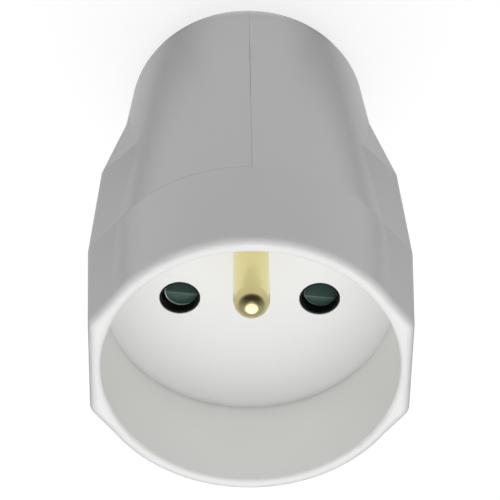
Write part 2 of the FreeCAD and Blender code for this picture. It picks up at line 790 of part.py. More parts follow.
def make_main_body(outer):
    """Collar, floor and one rear half in one moulding."""
    big = S.seam_radius + S.wall * 2
    recess = revolved("recess", [
        (0, FLOOR_TOP),
        (RECESS_RADIUS, FLOOR_TOP),
        (RECESS_RADIUS, RIM - S.mouth_round, True),
        (RECESS_RADIUS + S.mouth_round, RIM),
        (RECESS_RADIUS + S.mouth_round, RIM + OVERCUT),
        (0, RIM + OVERCUT),
    ])
    spigot_radius = cavity_radius(FLOOR_BACK) - S.fit_gap
    cover_room = cut("cover_room",
                     block("cover_side", (0, -big, -OVERCUT), (big, big, SEAM)),
                     rod("spigot", spigot_radius, SEAM - FLOOR_BACK + OVERCUT, z=FLOOR_BACK))
    shell = cut("body_shell", outer, recess, make_cavity("body_cavity"), cover_room)
    inner = []
    for index, height in enumerate(COVER_SCREW_HEIGHTS):
        boss = rod(f"body_boss_{index}", S.body_boss_radius, big, -big, S.cover_screw_y, height, ALONG_X)
        inner.append(shared(f"body_boss_in_shell_{index}", outer, boss))
    for side, y in (("near", -S.clamp_screw_y), ("far", S.clamp_screw_y)):
        post = rod(f"clamp_post_{side}", S.post_radius, big + S.clamp_offset, -big, y,
                   S.clamp_height, ALONG_X)
        inner.append(shared(f"clamp_post_in_shell_{side}", outer, post))
    cradle = block("cradle_block",
                   (-big, -S.cradle_half_length, S.clamp_height - S.cradle_width / 2),
                   (-S.cradle_offset, S.cradle_half_length, S.clamp_height + S.cradle_width / 2))
    saddle = rod("cradle_saddle", S.cord_radius, RIM, z=0)
    inner.append(cut("cradle", shared("cradle_in_shell", outer, cradle), saddle))
    for index, (x, y) in enumerate(CARRIER_SCREW_PLACES):
        inner.append(rod(f"carrier_post_{index}", S.post_radius, FLOOR_TOP - CARRIER_TOP - S.web,
                         x, y, CARRIER_TOP))
    earth_boss_low = CARRIER_TOP + S.earth_flange_thickness + S.bore_gap
    inner.append(rod("earth_boss", S.earth_flange_radius, FLOOR_TOP - S.web - earth_boss_low,
                     0, -S.earth_offset, earth_boss_low))
    tools = inlet_tools("body_inlet")
    for side, x in (("left", HALF_PITCH), ("right", -HALF_PITCH)):
        tools.append(rod(f"contact_hole_{side}", S.contact_hole_radius, S.floor_thickness + OVERCUT,
                         x, 0, FLOOR_BACK))
    tools.append(rod("earth_hole", S.earth_shank_radius + S.fit_gap, RIM - CARRIER_TOP,
                     0, -S.earth_offset, CARRIER_TOP))
    tools.append(tee("cage_pocket", S.cage_wall + S.slide_gap, FLOOR_BACK - OVERCUT,
                     FLOOR_TOP - S.web - FLOOR_BACK + OVERCUT))
    for index, (x, y) in enumerate(CARRIER_SCREW_PLACES):
        tools.append(rod(f"carrier_pilot_{index}", S.screw_radius,
                         S.carrier_screw_bite + S.fit_gap + OVERCUT, x, y, CARRIER_TOP - OVERCUT))
    for index, height in enumerate(COVER_SCREW_HEIGHTS):
        tools.append(rod(f"cover_pilot_{index}", S.screw_radius,
                         S.cover_screw_bite + S.fit_gap + OVERCUT,
                         OVERCUT, S.cover_screw_y, height, INWARD_X))
    for side, y in (("near", -S.clamp_screw_y), ("far", S.clamp_screw_y)):
        tools.append(rod(f"clamp_pilot_{side}", S.screw_radius, S.clamp_bite + S.fit_gap + OVERCUT,
                         S.clamp_offset + OVERCUT, y, S.clamp_height, INWARD_X))
    return cut("main_body", united("body_with_posts", shell, *inner), *tools)


def make_rear_cover(outer):
    """The other rear half: a shell with screw bosses on one edge and tongues on the other."""
    big = S.seam_radius + S.wall * 2
    side = block("cover_block", (S.joint_gap, -big, -OVERCUT), (big, big, SEAM - S.joint_gap))
    half = shared("cover_half", outer, side)
    seat = rod("cover_seat", cavity_radius(FLOOR_BACK), SEAM - FLOOR_BACK + OVERCUT, z=FLOOR_BACK)
    shell = cut("cover_shell", half, make_cavity("cover_cavity"), seat)
    added = []
    tools = inlet_tools("cover_inlet")
    for index, height in enumerate(COVER_SCREW_HEIGHTS):
        boss = rod(f"cover_boss_{index}", S.cover_boss_radius, big, S.joint_gap, S.cover_screw_y,
                   height, ALONG_X)
        added.append(shared(f"cover_boss_in_shell_{index}", outer, boss))
        tools.append(rod(f"cover_well_{index}", S.screw_head_radius + S.well_gap, big,
                         S.cover_screw_seat, S.cover_screw_y, height, ALONG_X))
        tools.append(rod(f"cover_hole_{index}", S.screw_radius + S.screw_hole_gap, big,
                         -OVERCUT, S.cover_screw_y, height, ALONG_X))
    for place, height in TONGUE_HEIGHTS:
        inside = -cavity_radius(height) + S.shell_clearance
        added.append(extruded(f"tongue_{place}", [
            (-S.tongue_reach, inside),
            (S.joint_gap, inside),
            (S.joint_gap, inside - S.tongue_bury),
            (S.tongue_root, inside - S.tongue_bury),
            (S.tongue_root, inside + S.tongue_thickness),
            (-S.tongue_reach, inside + S.tongue_thickness),
        ], S.tongue_width, z=height))
    return cut("rear_cover", united("cover_with_bosses", shell, *added), *tools)


def make_cover_screws():
    """Screws of the cover, sunk in wells on the side away from the earth pin."""
    screws = []
    for index, height in enumerate(COVER_SCREW_HEIGHTS):
        screws.append(screw(f"cover_screw_{index}", S.cover_screw_seat + S.cover_screw_bite,
                            S.screw_radius, S.screw_head_radius, S.screw_head_height,
                            S.cover_screw_seat, S.cover_screw_y, height, INWARD_X))
    return group("cover_screws", screws)


# Cord entry


def make_cord_clamp():
    """Bar with a round saddle that presses the cord into the cradle."""
    bar = block("clamp_bar",
                (S.clamp_offset, -S.clamp_half_length, S.clamp_height - S.clamp_width / 2),
                (CLAMP_TOP_X, S.clamp_half_length, S.clamp_height + S.clamp_width / 2))
    tools = [rod("clamp_saddle", S.cord_radius, RIM)]
    for side, y in (("near", -S.clamp_screw_y), ("far", S.clamp_screw_y)):
        tools.append(rod(f"clamp_hole_{side}", S.screw_radius + S.screw_hole_gap, RIM, 0, y,
                         S.clamp_height, ALONG_X))
    return cut("cord_clamp", bar, *tools)


def make_clamp_screws():
    """The two screws of the cord clamp."""
    screws = []
    for side, y in (("near", -S.clamp_screw_y), ("far", S.clamp_screw_y)):
        screws.append(screw(f"clamp_screw_{side}", S.clamp_thickness + S.clamp_bite,
                            S.screw_radius, S.screw_head_radius, S.screw_head_height,
                            CLAMP_TOP_X, y, S.clamp_height, INWARD_X))
    return group("clamp_screws", screws)


def make_inlet_grommet():
    """Rubber ring whose groove grips the edge of the inlet hole."""
    bottom = S.grommet_step
    groove_low = S.inlet_recess_depth - S.bore_gap
    groove_high = S.tail_wall + S.bore_gap
    neck = S.inlet_radius - S.bore_gap
    return turned("inlet_grommet", [
        (S.grommet_bore, bottom),
        (S.grommet_flange_radius, bottom),
        (S.grommet_flange_radius, groove_low),
        (neck, groove_low),
        (neck, groove_high),
        (S.grommet_flange_radius, groove_high),
        (S.grommet_flange_radius, groove_high + S.grommet_flange),
        (S.grommet_bore, groove_high + S.grommet_flange),
    ])


def make_pieces():
    """Every piece of the connector, by the name of its node."""
    outer = make_outer_form()
    pieces = [
        make_main_body(outer),
        make_rear_cover(outer),
        make_cover_screws(),
        make_shutter_cage(),
        make_shutter(),
        make_spring(),
        make_contact_carrier(),
        make_carrier_screws(),
        make_earth_pin(),
        make_earth_terminal(),
        make_terminal_screws(),
        make_cord_clamp(),
        make_clamp_screws(),
        make_inlet_grommet(),
    ]
    for name, x, y, turn in CONTACT_PLACES[:2]:
        pieces.append(make_contact(f"{name}_contact", x, y, turn))
        pieces.append(make_contact_clip(f"{name}_contact_clip", x))
    return {piece.Name: piece for piece in pieces}


def check(pieces):
    """Stop if anything in the document failed, or if a piece has no sound shape."""
    failed = [item.Name for item in doc.Objects if {"Invalid", "Error"} & set(item.State)]
    if failed:
        raise RuntimeError(f"failed objects: {failed}")
    for name, piece in pieces.items():
        shape = piece.Shape
        if shape.isNull() or not shape.isValid() or not shape.Solids:
            raise RuntimeError(f"{name} has no sound solid")


def main():
    """Build the document, check it and write one file for each piece."""
    pieces = make_pieces()
    doc.recompute()
    check(pieces)
    os.makedirs("parts", exist_ok=True)
    for name, piece in pieces.items():
        piece.Label = name
        piece.Shape.exportStep(f"parts/{name}.step")
        print(f"{name}: {len(piece.Shape.Solids)} solids, {piece.Shape.Volume:.1f} mm3")


main()
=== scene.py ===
"""Studio scene of an inline socket connector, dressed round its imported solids.

Lengths are metres in the part's own frame: +Z runs from the tail to the mouth, the
contact holes lie along X and the earth pin stands on the -Y side.
"""

from __future__ import annotations

import functools
import logging
import math
from dataclasses import dataclass
from enum import Enum
from typing import Any, Iterable, Protocol, Sequence

import bmesh
import bpy
from mathutils import Matrix, Vector


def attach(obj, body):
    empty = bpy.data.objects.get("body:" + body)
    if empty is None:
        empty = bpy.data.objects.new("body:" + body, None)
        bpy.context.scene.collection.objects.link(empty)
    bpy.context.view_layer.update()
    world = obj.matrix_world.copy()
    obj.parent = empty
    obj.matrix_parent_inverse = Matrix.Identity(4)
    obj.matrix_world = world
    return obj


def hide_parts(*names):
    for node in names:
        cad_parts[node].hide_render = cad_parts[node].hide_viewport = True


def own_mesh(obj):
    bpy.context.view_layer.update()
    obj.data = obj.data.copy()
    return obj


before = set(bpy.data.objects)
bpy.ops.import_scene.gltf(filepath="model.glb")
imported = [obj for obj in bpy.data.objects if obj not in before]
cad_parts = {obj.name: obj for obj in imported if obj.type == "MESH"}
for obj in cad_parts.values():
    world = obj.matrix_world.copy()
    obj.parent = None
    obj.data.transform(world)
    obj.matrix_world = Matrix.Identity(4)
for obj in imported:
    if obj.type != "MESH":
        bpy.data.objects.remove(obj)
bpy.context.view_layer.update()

LOG = logging.getLogger("socket_connector")
MM = 0.001

# Meshes: distance at which points merge, angle of a sharp edge, facets round a turned piece
MERGE = 1e-7
SMOOTH_ANGLE = math.radians(32)
ROUND_STEPS = 72

# Shaders: samples of masks and normals, mean of a noise, limits of an edge and of an inner corner
MASK_SAMPLES = 8
NORMAL_SAMPLES = 4
NOISE_MEAN = 0.5
EDGE_MATCH = (0.955, 0.998)
OPEN_SKY = (0.48, 0.98)

# Contact holes: half their pitch, and how far the shutter's noses lie off them in X and Y
HALF_PITCH = 9.5 * MM
NOSE_SHIFT = (-0.3 * MM, 0.2 * MM)

Colour = tuple[float, float, float]
WHITE: Colour = (1.0, 1.0, 1.0)


class Body(Enum):
    """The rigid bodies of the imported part."""

    HOUSING = "housing"
    SHUTTER = "shutter"


class Slot(Enum):
    """Material slots of the part's record."""

    SHUTTER_GREEN = "shutter_green"
    PLATED_STEEL = "plated_steel"
    TERMINAL_STEEL = "terminal_steel"


class Axis(Enum):
    """Directions that a turned piece can point."""

    UP = (0.0, 0.0, 1.0)
    PLUS_X = (1.0, 0.0, 0.0)
    MINUS_X = (-1.0, 0.0, 0.0)
    PLUS_Y = (0.0, 1.0, 0.0)

    def vector(self) -> Vector:
        """The direction as a vector."""
        return Vector(self.value)

    def stand(self, place: Sequence[float]) -> Matrix:
        """Matrix that turns +Z to this direction and moves the origin to a place.

        Args:
            place: Where the origin goes.

        Returns:
            The matrix of the move.
        """
        turn = Vector((0, 0, 1)).rotation_difference(self.vector())
        return Matrix.Translation(place) @ turn.to_matrix().to_4x4()


# Shader kit


class Signal:
    """A shader output that Python operators turn into Math nodes."""

    def __init__(self, paint: Paint, socket: bpy.types.NodeSocket | None) -> None:
        """Keep the paint and the socket, which an output node lacks."""
        self.paint = paint
        self.socket = socket

    def __add__(self, other: Operand) -> Signal:
        """This value plus another."""
        return self.paint.math("ADD", self, other)

    def __radd__(self, other: Operand) -> Signal:
        """Another value plus this one."""
        return self.paint.math("ADD", other, self)

    def __sub__(self, other: Operand) -> Signal:
        """This value less another."""
        return self.paint.math("SUBTRACT", self, other)

    def __rsub__(self, other: Operand) -> Signal:
        """Another value less this one."""
        return self.paint.math("SUBTRACT", other, self)

    def __mul__(self, other: Operand) -> Signal:
        """This value times another."""
        return self.paint.math("MULTIPLY", self, other)

    def __rmul__(self, other: Operand) -> Signal:
        """Another value times this one."""
        return self.paint.math("MULTIPLY", other, self)

    def __lt__(self, other: Operand) -> Signal:
        """One where this value is below another, else zero."""
        return self.paint.math("LESS_THAN", self, other)

    def __gt__(self, other: Operand) -> Signal:
        """One where this value is above another, else zero."""
        return self.paint.math("GREATER_THAN", self, other)

    def __abs__(self) -> Signal:
        """This value without its sign."""
        return self.paint.math("ABSOLUTE", self, 0.0)

    def __or__(self, other: Operand) -> Signal:
        """The larger of two values."""
        return self.paint.math("MAXIMUM", self, other)


Operand = Signal | float


class Paint:
    """The nodes of one material or of the world."""

    def __init__(self, tree: bpy.types.NodeTree) -> None:
        """Start with an empty node tree."""
        self.tree = tree
        self.tree.nodes.clear()

    def node(
        self,
        kind: str,
        settings: dict[str, Any] | None = None,
        inputs: dict[str | int, Any] | None = None,
        output: str | int = 0,
    ) -> Signal:
        """Add a node: its settings first, then the values or links of its sockets.

        Args:
            kind: Type name of the node.
            settings: Properties of the node.
            inputs: Values or signals by socket name or number.
            output: The output that is wanted.

        Returns:
            The wanted output as a signal.
        """
        made = self.tree.nodes.new(kind)
        for name, value in (settings or {}).items():
            setattr(made, name, value)
        for name, value in (inputs or {}).items():
            socket = made.inputs[name]
            if isinstance(value, Signal):
                self.tree.links.new(value.socket, socket)
            elif socket.type == "RGBA":
                socket.default_value = (*value, 1.0)
            else:
                socket.default_value = value
        return Signal(self, made.outputs[output] if made.outputs else None)

    def math(self, operation: str, first: Operand, second: Operand) -> Signal:
        """A Math node on two values."""
        return self.node("ShaderNodeMath", {"operation": operation}, {0: first, 1: second})

    def place(self) -> Signal:
        """Object coordinates, in metres."""
        return self.node("ShaderNodeTexCoord", output="Object")

    def along(self, axis: str) -> Signal:
        """One of the object coordinates: X, Y or Z."""
        return self.node("ShaderNodeSeparateXYZ", inputs={"Vector": self.place()}, output=axis)

    def diagonal(self, first: Signal, second: Signal) -> Signal:
        """Distance made up of two distances at right angles."""
        return self.math("SQRT", first * first + second * second, 0.0)

    def ray(self, kind: str) -> Signal:
        """One on rays of a kind, such as Camera or Glossy, else zero."""
        return self.node("ShaderNodeLightPath", output=f"Is {kind} Ray")

    def noise(self, scale: float, detail: float = 2.0) -> Signal:
        """Soft noise with a number of waves per metre."""
        inputs = {"Vector": self.place(), "Scale": scale, "Detail": detail}
        return self.node("ShaderNodeTexNoise", inputs=inputs)

    def mix(self, mask: Operand, first: Signal | Colour, second: Signal | Colour) -> Signal:
        """A colour between two colours."""
        return self.node("ShaderNodeMix", {"data_type": "RGBA"}, {0: mask, 6: first, 7: second}, 2)

    def ramp(self, value: Signal, low: float, high: float, first: float, last: float) -> Signal:
        """A smooth change from one value to another while a value rises.

        Args:
            value: What drives the change.
            low: Where the change starts.
            high: Where the change ends.
            first: The value before the change.
            last: The value after it.

        Returns:
            The changing value.
        """
        bounds = {"From Min": low, "From Max": high, "To Min": first, "To Max": last}
        settings = {"interpolation_type": "SMOOTHSTEP"}
        return self.node("ShaderNodeMapRange", settings, {"Value": value, **bounds})

    def edge_mask(self, width: float) -> Signal:
        """Mask of the sharp edges.

        Args:
            width: Distance from an edge beyond which the mask is zero.

        Returns:
            One on the edges, else zero.
        """
        soft = self.soft_edges(width, MASK_SAMPLES)
        flat = self.node("ShaderNodeNewGeometry", output="True Normal")
        dot = {"operation": "DOT_PRODUCT"}
        match = self.node("ShaderNodeVectorMath", dot, {0: soft, 1: flat}, "Value")
        return self.ramp(match, *EDGE_MATCH, 1.0, 0.0)

    def crease_mask(self, width: float) -> Signal:
        """Mask of the inner corners, zero on open surfaces.

        Args:
            width: Reach of the mask.

        Returns:
            One in the corners, else zero.
        """
        settings = {"samples": MASK_SAMPLES}
        open_sky = self.node("ShaderNodeAmbientOcclusion", settings, {"Distance": width}, "AO")
        return self.ramp(open_sky, *OPEN_SKY, 1.0, 0.0)

    def soft_edges(self, radius: float, samples: int = NORMAL_SAMPLES) -> Signal:
        """Normal of a surface whose edges are softened to a radius."""
        return self.node("ShaderNodeBevel", {"samples": samples}, {"Radius": radius})

    def relief(self, height: Signal, depth: float, normal: Signal) -> Signal:
        """Normal of a surface with a fine relief.

        Args:
            height: Height of the relief, from 0 to 1.
            depth: What a height of 1 stands for, in metres.
            normal: Normal of the surface without it.

        Returns:
            The normal.
        """
        inputs = {"Height": height, "Distance": depth, "Strength": 1.0, "Normal": normal}
        return self.node("ShaderNodeBump", inputs=inputs)

    def close(self, shader: Signal) -> None:
        """Send a shader to the material's output."""
        self.node("ShaderNodeOutputMaterial", inputs={"Surface": shader})


def scaled(colour: Colour, share: float) -> Colour:
    """A colour made lighter or darker by a share."""
    return tuple(min(1.0, part * share) for part in colour)


# Finishes


class Finish(Protocol):
    """What a piece can be painted with.

    Attributes:
        name: Name of the material.
    """

    name: str

    def paint(self, paint: Paint) -> Signal:
        """Build the shader in a paint and return it."""


@dataclass(frozen=True)
class MouldedPlastic:
    """Moulded plastic with faint clouds, a fine grain, pale edges of wear and painted highlight, and painted
    shade in the inner corners.

    Attributes:
        name: Name of the material.
        colour: Base colour.
        roughness: Mean roughness.
        cloud: Share by which the colour varies in broad clouds.
        cloud_scale: Waves of the clouds per metre.
        cloud_gloss: How far the clouds change the roughness.
        grain: Height of the fine grain.
        grain_scale: Waves of the grain per metre.
        grain_gloss: How far the grain changes the roughness.
        edge: Radius of the softened edges.
        shine: Strength of the gloss.
        wear_and_highlight: How far the colour of sharp edges goes to the pale edge colour, part wear and part
            painted highlight.
        wear_and_highlight_scale: Waves of the uneven pale edges per metre.
        wear_and_highlight_least: Share of the pale edges where their noise is zero.
        wear_and_highlight_rise: How much that share grows where the noise is one.
        wear_and_highlight_colour: Colour of the pale edges, worn and painted as lit.
        crease: How far the painted shade darkens inner corners.
        crease_width: Reach of the painted shade in inner corners.
        crease_shade: Share of the colour that is left under the full painted shade.
        specks: Share of the cells that hold a dark speck.
        speck_cell: Width of a cell.
        speck_radius: Radius of a speck.
        speck_colour: Colour of the specks.
    """

    name: str
    colour: Colour
    roughness: float
    cloud: float = 0.02
    cloud_scale: float = 90.0
    cloud_gloss: float = 0.12
    grain: float = 1.5e-6
    grain_scale: float = 5200.0
    grain_gloss: float = 0.06
    edge: float = 0.12 * MM
    shine: float = 0.18
    wear_and_highlight: float = 0.0
    wear_and_highlight_scale: float = 2600.0
    wear_and_highlight_least: float = 0.325
    wear_and_highlight_rise: float = 0.9
    wear_and_highlight_colour: Colour = (0.34, 0.42, 0.40)
    crease: float = 0.0
    crease_width: float = 1.2 * MM
    crease_shade: float = 0.30
    specks: float = 0.0
    speck_cell: float = 9.0 * MM
    speck_radius: float = 0.10 * MM
    speck_colour: Colour = (0.25, 0.24, 0.22)

    def paint(self, paint: Paint) -> Signal:
        """Build the shader.

        Args:
            paint: The material's paint.

        Returns:
            The shader.
        """
        cloud = paint.noise(self.cloud_scale, detail=3.0)
        grain = paint.noise(self.grain_scale)
        dark, light = scaled(self.colour, 1 - self.cloud), scaled(self.colour, 1 + self.cloud)
        colour = paint.mix(cloud, dark, light)
        # Painted shade: the inner corners are darkened by ambient occlusion.
        if self.crease:
            colour = paint.mix(self.painted_corner_shade(paint), colour, scaled(self.colour, self.crease_shade))
        # Pale sharp edges: part wear, part painted highlight.
        if self.wear_and_highlight:
            uneven = self.wear_and_highlight_least + self.wear_and_highlight_rise * paint.noise(self.wear_and_highlight_scale)
            colour = paint.mix(paint.edge_mask(self.edge) * uneven * self.wear_and_highlight, colour, self.wear_and_highlight_colour)
        if self.specks:
            colour = paint.mix(self.speck_mask(paint), colour, self.speck_colour)
        swing = (cloud - NOISE_MEAN) * self.cloud_gloss + (grain - NOISE_MEAN) * self.grain_gloss
        inputs = {
            "Base Color": self.add_painted_light(paint, colour),
            "Roughness": self.roughness + swing,
            "Normal": paint.relief(grain, self.grain, self.rounding(paint)),
            "Specular IOR Level": self.shine,
            **self.polish(paint),
        }
        return paint.node("ShaderNodeBsdfPrincipled", inputs=inputs)

    def rounding(self, paint: Paint) -> Signal:
        """Normal with the softened edges."""
        return paint.soft_edges(self.edge)

    def polish(self, paint: Paint) -> dict[str, Any]:
        """Sockets of any gloss coat of the piece, none on plain mouldings."""
        return {}

    def painted_corner_shade(self, paint: Paint) -> Signal:
        """Mask of the painted shade in the inner corners."""
        return paint.crease_mask(self.crease_width) * self.crease

    def add_painted_light(self, paint: Paint, colour: Signal) -> Signal:
        """The colour with any painted light or shade of the piece, none on plain mouldings."""
        return colour

    def speck_mask(self, paint: Paint) -> Signal:
        """Mask of tiny round specks, one at most in a cell.

        Args:
            paint: The material's paint.

        Returns:
            One on the specks, else zero.
        """
        inputs = {"Vector": paint.place(), "Scale": 1 / self.speck_cell}
        away = paint.node("ShaderNodeTexVoronoi", inputs=inputs, output="Distance")
        chance = paint.node("ShaderNodeTexVoronoi", inputs=inputs, output="Color")
        red = paint.node("ShaderNodeSeparateColor", inputs={"Color": chance})
        return (away < self.speck_radius / self.speck_cell) * (red < self.specks)


@dataclass(frozen=True)
class SplitShellPlastic(MouldedPlastic):
    """Plastic of the split housing: glossy outside, with painted shade along its joint line.

    Attributes:
        joint_height: Height of the joint's ring; below it the joint runs along the axis.
        joint_width: Half the width of the painted shade line.
        joint_shade: How far the painted shade darkens the line along the axis.
        ring_shade: How far the painted shade darkens the ring.
        joint_shade_scale: Waves of the uneven painted shade per metre.
        joint_shade_patches: Values of that noise between which the painted shade goes from least to full.
        joint_shade_least: Share of the painted shade where it is least.
        joint_shade_share: Share of the colour that is left under the full painted shade.
        joint_shade_middle: Height at which the painted shade along the axis is darkest.
        joint_shade_reach: How far from there the painted shade thins out.
        corner_shade_side: Depths between which the painted shade of the inner corners grows.
        corner_shade_least: Share of that painted shade on the earth pin's side.
        outer_edge: Radius of the softened edges of the outside.
        joint_margin: Distances from the joint between which the outer edges go from sharp to soft.
        coat_start: Radii between which the gloss of the outside starts, at the rim.
        coat_roughness: Roughness of that gloss.
    """

    joint_height: float = 48.2 * MM
    joint_width: float = 0.09 * MM
    joint_shade: float = 0.95
    ring_shade: float = 0.12
    joint_shade_scale: float = 110.0
    joint_shade_patches: tuple[float, float] = (0.30, 0.70)
    joint_shade_least: float = 0.35
    joint_shade_share: float = 0.35
    joint_shade_middle: float = 21.5 * MM
    joint_shade_reach: float = 11.0 * MM
    corner_shade_side: tuple[float, float] = (5.0 * MM, 18.0 * MM)
    corner_shade_least: float = 0.15
    outer_edge: float = 1.6 * MM
    joint_margin: tuple[float, float] = (1.2 * MM, 2.0 * MM)
    coat_start: tuple[float, float] = (20.2 * MM, 20.8 * MM)
    coat_roughness: float = 0.20

    def outside(self, paint: Paint) -> Signal:
        """Mask of the outside, zero in the recess."""
        rim = paint.ramp(paint.diagonal(paint.along("X"), paint.along("Y")), *self.coat_start, 0.0, 1.0)
        return rim | (paint.along("Z") < self.joint_height)

    def rounding(self, paint: Paint) -> Signal:
        """Normal with softer edges on the outside, away from the joint.

        Args:
            paint: The material's paint.

        Returns:
            The normal.
        """
        x, z = paint.along("X"), paint.along("Z")
        off_axis = paint.ramp(abs(x), *self.joint_margin, 0.0, 1.0)
        off_ring = paint.ramp(abs(z - self.joint_height), *self.joint_margin, 0.0, 1.0) | (x < 0.0)
        mask = self.outside(paint) * off_axis * off_ring
        normals = {0: mask, 4: paint.soft_edges(self.edge), 5: paint.soft_edges(self.outer_edge)}
        return paint.node("ShaderNodeMix", {"data_type": "VECTOR"}, normals, 1)

    def polish(self, paint: Paint) -> dict[str, Any]:
        """Sockets of the gloss coat on the outside."""
        return {"Coat Weight": self.outside(paint), "Coat Roughness": self.coat_roughness}

    def painted_corner_shade(self, paint: Paint) -> Signal:
        """Mask of the painted shade in the inner corners, which grows darker away from the earth pin."""
        far = paint.ramp(paint.along("Y"), *self.corner_shade_side, self.corner_shade_least, 1.0)
        return super().painted_corner_shade(paint) * far

    def add_painted_light(self, paint: Paint, colour: Signal) -> Signal:
        """The colour with an uneven line of painted shade along the joint.

        Args:
            paint: The material's paint.
            colour: The colour without it.

        Returns:
            The colour with it.
        """
        # Painted shade: a dark line on the joint ring on the +X side and along the axis, darkest at
        # mid-height.
        x, z = paint.along("X"), paint.along("Z")
        line = (self.joint_width / 3, self.joint_width, 1.0, 0.0)
        ring = paint.ramp(abs(z - self.joint_height), *line) * (x > 0.0) * self.ring_shade
        straight = paint.ramp(abs(x), *line) * (z < self.joint_height) * self.joint_shade
        middle_fade = paint.ramp(abs(z - self.joint_shade_middle), 0.0, self.joint_shade_reach, 1.0, 0.0)
        noise = paint.noise(self.joint_shade_scale, detail=1.0)
        uneven = paint.ramp(noise, *self.joint_shade_patches, self.joint_shade_least, 1.0)
        return paint.mix((ring | straight * middle_fade) * uneven, colour, scaled(self.colour, self.joint_shade_share))


@dataclass(frozen=True)
class ShutterPlastic(MouldedPlastic):
    """Plastic of the shutter, with a painted pale reflection along the far rim of its two noses.

    Attributes:
        rim_reflection_radius: Radius of the painted reflection line.
        rim_reflection_width: Half its width.
        rim_reflection: How far the line goes pale.
        rim_reflection_side: Depths between which the line appears.
        rim_reflection_share: Strength of the line on the -X nose, of that on the +X nose.
        rim_reflection_scale: Waves of the uneven reflection per metre.
        rim_reflection_patches: Values of that noise between which the reflection goes from least to full.
        rim_reflection_least: Share of the reflection where it is least.
        rim_reflection_colour: Colour of the painted reflection line.
    """

    rim_reflection_radius: float = 2.32 * MM
    rim_reflection_width: float = 0.15 * MM
    rim_reflection: float = 1.0
    rim_reflection_side: tuple[float, float] = (-1.6 * MM, -0.4 * MM)
    rim_reflection_share: float = 0.25
    rim_reflection_scale: float = 700.0
    rim_reflection_patches: tuple[float, float] = (0.35, 0.65)
    rim_reflection_least: float = 0.25
    rim_reflection_colour: Colour = (0.80, 0.88, 0.86)

    def add_painted_light(self, paint: Paint, colour: Signal) -> Signal:
        """The colour with the painted reflection line on the noses.

        Args:
            paint: The material's paint.
            colour: The colour without it.

        Returns:
            The colour with it.
        """
        # Painted reflection: a pale line along the far rim of each nose, fainter on the -X nose.
        x, y = paint.along("X"), paint.along("Y")
        shift_x, shift_y = NOSE_SHIFT
        away = paint.diagonal(abs(x - shift_x) - HALF_PITCH, y - shift_y)
        line = paint.ramp(abs(away - self.rim_reflection_radius), self.rim_reflection_width / 3, self.rim_reflection_width, 1.0, 0.0)
        side = paint.ramp(y, *self.rim_reflection_side, 0.0, 1.0)
        noise = paint.noise(self.rim_reflection_scale, detail=1.0)
        uneven = paint.ramp(noise, *self.rim_reflection_patches, self.rim_reflection_least, 1.0)
        share = self.rim_reflection * (self.rim_reflection_share + (1 - self.rim_reflection_share) * (x > 0.0))
        return paint.mix(line * side * uneven * share, colour, self.rim_reflection_colour)


@dataclass(frozen=True)
class TurnedMetal:
    """Bar-turned metal with fine rings round an upright axis and a faint tarnish.

    Attributes:
        name: Name of the material.
        colour: Base colour of the clean metal.
        tarnish: Base colour of the duller patches.
        roughness: Mean roughness.
        ring_pitch: Distance between the turning marks.
        ring_height: Height of the turning marks.
        ring_wander: How far the marks stray from a true ring, in radians of their wave.
        ring_gloss: How far the marks change the roughness.
        wander_scale: Waves of that straying per metre.
        patch_scale: Waves of the tarnish per metre.
        patch_gloss: How far the tarnish changes the roughness.
        edge: Radius of the softened edges.
    """

    name: str
    colour: Colour
    tarnish: Colour
    roughness: float
    ring_pitch: float = 0.12 * MM
    ring_height: float = 6e-7
    ring_wander: float = 4.0
    ring_gloss: float = 0.03
    wander_scale: float = 900.0
    patch_scale: float = 420.0
    patch_gloss: float = 0.16
    edge: float = 0.08 * MM

    def paint(self, paint: Paint) -> Signal:
        """Build the shader.

        Args:
            paint: The material's paint.

        Returns:
            The shader.
        """
        waves = paint.along("Z") * (2 * math.pi / self.ring_pitch)
        stray = paint.noise(self.wander_scale) * self.ring_wander
        rings = paint.math("SINE", waves + stray, 0.0) * 0.5 + 0.5
        patches = paint.noise(self.patch_scale, detail=4.0)
        swing = (patches - NOISE_MEAN) * self.patch_gloss + (rings - NOISE_MEAN) * self.ring_gloss
        inputs = {
            "Base Color": paint.mix(patches, self.tarnish, self.colour),
            "Metallic": 1.0,
            "Roughness": self.roughness + swing,
            "Normal": paint.relief(rings, self.ring_height, paint.soft_edges(self.edge)),
        }
        return paint.node("ShaderNodeBsdfPrincipled", inputs=inputs)


@dataclass(frozen=True)
class PlatedMetal:
    """Plated steel with a fine cast and uneven gloss.

    Attributes:
        name: Name of the material.
        colour: Base colour of the plating.
        dull: Base colour of the duller patches.
        roughness: Mean roughness.
        patch_scale: Waves of those patches per metre.
        patch_gloss: How far the patches change the roughness.
        pit_scale: Waves of the fine pits per metre.
        pit_height: Depth of the pits.
        edge: Radius of the softened edges.
    """

    name: str
    colour: Colour
    dull: Colour
    roughness: float
    patch_scale: float = 1300.0
    patch_gloss: float = 0.2
    pit_scale: float = 9000.0
    pit_height: float = 8e-7
    edge: float = 0.06 * MM

    def paint(self, paint: Paint) -> Signal:
        """Build the shader.

        Args:
            paint: The material's paint.

        Returns:
            The shader.
        """
        patches = paint.noise(self.patch_scale, detail=4.0)
        pits = paint.noise(self.pit_scale)
        inputs = {
            "Base Color": paint.mix(patches, self.dull, self.colour),
            "Metallic": 1.0,
            "Roughness": self.roughness + (patches - NOISE_MEAN) * self.patch_gloss,
            "Normal": paint.relief(pits, self.pit_height, paint.soft_edges(self.edge)),
        }
        return paint.node("ShaderNodeBsdfPrincipled", inputs=inputs)


# The shell has painted shade in its inner corners and along its joint line.
WHITE_SHELL = SplitShellPlastic(
    "shell_white",
    colour=(0.92, 0.92, 0.914),
    roughness=0.48,
    cloud=0.012,
    edge=0.14 * MM,
    shine=0.25,
    crease=0.17,
    specks=0.12,
)
